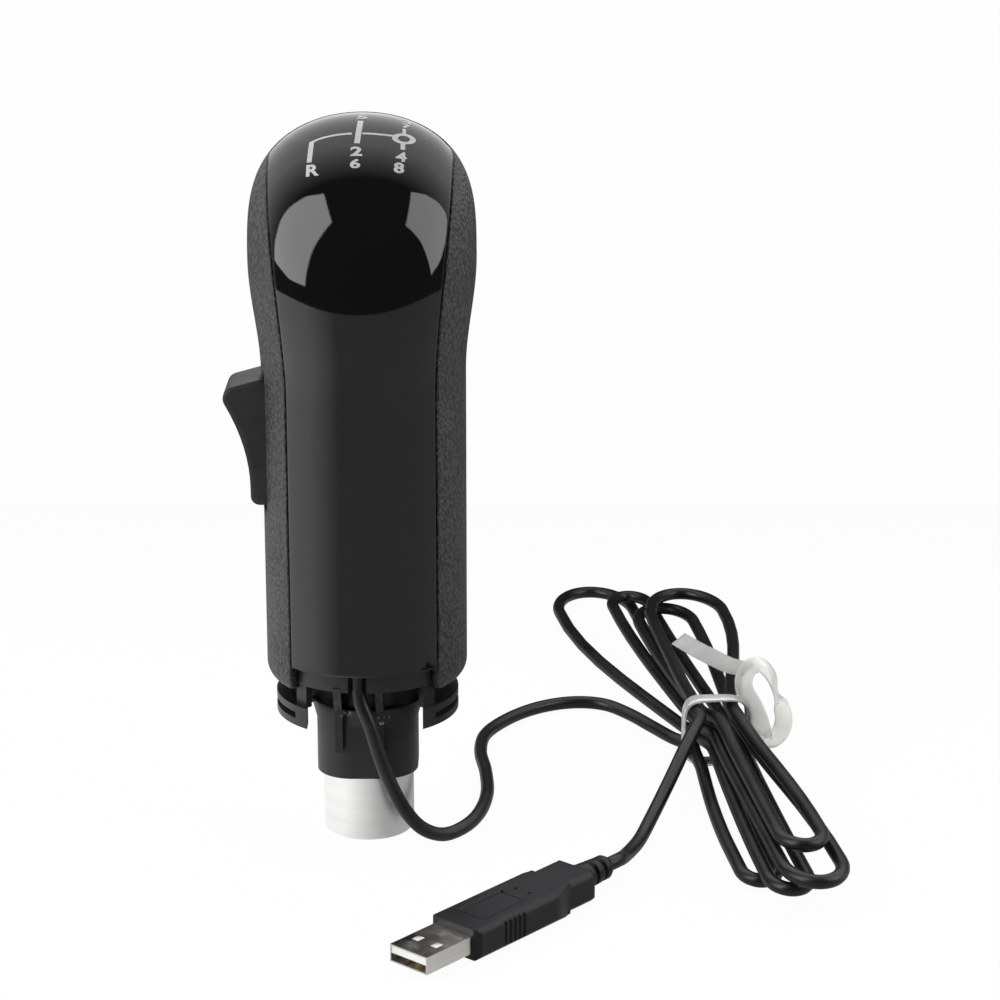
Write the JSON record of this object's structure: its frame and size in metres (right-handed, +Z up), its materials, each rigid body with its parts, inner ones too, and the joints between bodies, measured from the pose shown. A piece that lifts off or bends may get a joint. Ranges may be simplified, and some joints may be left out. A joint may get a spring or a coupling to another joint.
{
  "type": "sim racing gear shifter",
  "caption": "Tall shift knob with a gloss front cover, a leather-grain grip, a side range paddle, an aluminium adapter tube and a coiled USB lead.",
  "frame": {"origin": "centre of the adapter tube's bottom face", "axes": "+Z up along the tube, +X to the right seen from the gloss cover, -Y out of the gloss cover"},
  "size_m": [0.1581, 0.2916, 0.1906],
  "materials": {
    "gloss_cover": "high gloss piano black",
    "grip_skin": "dark grey leather-grain skin, matte",
    "chassis_plastic": "satin black moulding",
    "tube_aluminium": "turned, satin",
    "paddle_plastic": "fine-textured black moulding",
    "screw_steel": "zinc plated",
    "switch_plastic": "black moulding",
    "slider_plastic": "off-white moulding",
    "board_green": "solder-masked laminate",
    "chip_black": "black moulding",
    "header_plastic": "ivory moulding",
    "wire_red": "wire insulation",
    "cord_jacket": "satin black soft jacket",
    "tie_strap": "milky translucent strap",
    "plug_mould": "satin black overmould",
    "plug_nickel": "nickel plated sheet",
    "contact_gold": "gold plated"
  },
  "bodies": {
    "housing": {"front_cover": "gloss_cover", "grip_shell": "grip_skin", "chassis": "chassis_plastic", "adapter_tube": "tube_aluminium", "paddle_pin": "screw_steel", "slide_switch": "switch_plastic", "switch_screws": "screw_steel", "circuit_board": "board_green", "board_chip": "chip_black", "board_header": "header_plastic", "board_screws": "screw_steel", "switch_wires": "wire_red", "cord_inner": "cord_jacket", "cord_clamp": "switch_plastic", "clamp_screws": "screw_steel", "shell_screws": "screw_steel", "cord_lead": "cord_jacket", "cord_hank": "cord_jacket", "cord_tail": "cord_jacket", "cord_tie": "tie_strap", "plug_overmould": "plug_mould", "plug_shell": "plug_nickel", "plug_tongue": "header_plastic", "plug_contacts": "contact_gold"},
    "paddle": {"range_paddle": "paddle_plastic"},
    "slider": {"switch_slider": "slider_plastic"}
  },
  "joints": [
    {"name": "range_select", "type": "hinge", "parent": "housing", "child": "paddle", "pos_m": [-0.0185, 0, 0.104], "axis": [0, 1, 0], "range_deg": [0, 12]},
    {"name": "switch_throw", "type": "slide", "parent": "housing", "child": "slider", "axis": [0, 0, -1], "range_m": [0, 0.002]}
  ],
  "couplings": [
    {"joint": "switch_throw", "follows": "range_select", "m_per_rad": 0.0085}
  ]
}
